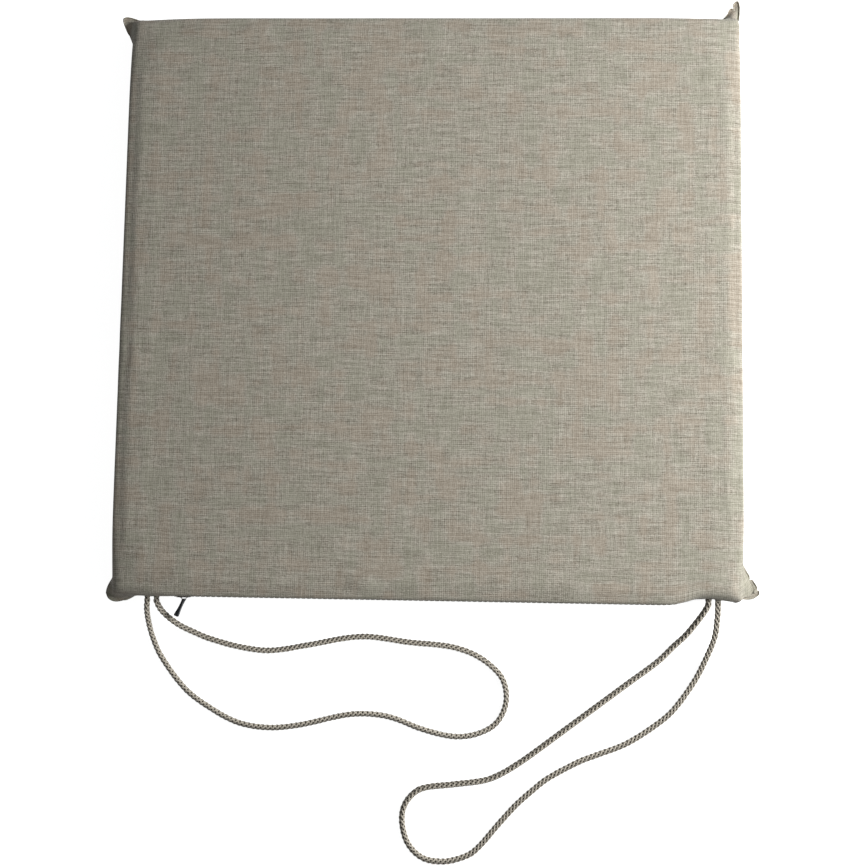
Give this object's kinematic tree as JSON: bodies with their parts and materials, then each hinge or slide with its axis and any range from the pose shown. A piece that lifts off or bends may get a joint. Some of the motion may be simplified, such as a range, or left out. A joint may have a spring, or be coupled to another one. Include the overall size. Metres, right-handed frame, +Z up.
{
  "type": "chair seat pad",
  "caption": "Square foam seat pad in a zipped knife-edge fabric cover, with a braided cord loop at each back corner for tying it to a chair.",
  "frame": {"origin": "centre of the underside of the cushion, which lies on z = 0", "axes": "+Z up through the pad's thickness, +X to the right along the back edge, and the edge with the zip and the ties at -Y"},
  "size_m": [0.4186, 0.5561, 0.025],
  "materials": {
    "cloth": "slub linen-look weave, greige, matt",
    "foam": "open-cell polyurethane foam, cream",
    "thread": "spun polyester sewing thread, matched to the cloth",
    "cord": "braided polyester cord, light greige",
    "zip_tape": "woven polyester zip tape",
    "zip_teeth": "nylon monofilament spiral",
    "gunmetal": "die-cast zinc, gunmetal plated, satin"
  },
  "bodies": {
    "cushion": {"foam_slab": "foam", "cover_top_panel": "cloth", "cover_bottom_panel": "cloth", "seam_thread": "thread", "zip_tape_upper": "zip_tape", "zip_tape_lower": "zip_tape", "zip_teeth_upper": "zip_teeth", "zip_teeth_lower": "zip_teeth", "zip_stitches_upper": "thread", "zip_stitches_lower": "thread", "zip_stop_left": "gunmetal", "zip_stop_right": "gunmetal", "tie_cord_left": "cord", "tie_cord_right": "cord", "tie_ends_left": "cord", "tie_ends_right": "cord", "tie_stitches_left": "thread", "tie_stitches_right": "thread"},
    "slider": {"zip_slider": "gunmetal"},
    "pull_tab": {"zip_pull_tab": "gunmetal"}
  },
  "joints": [
    {"name": "zip_travel", "type": "slide", "parent": "cushion", "child": "slider", "axis": [1, 0, 0], "range_m": [0, 0.309]},
    {"name": "pull_swing", "type": "hinge", "parent": "slider", "child": "pull_tab", "pos_m": [-0.1547, -0.1926, 0.0125], "axis": [0, 0, 1], "range_deg": [-62, 112]}
  ]
}
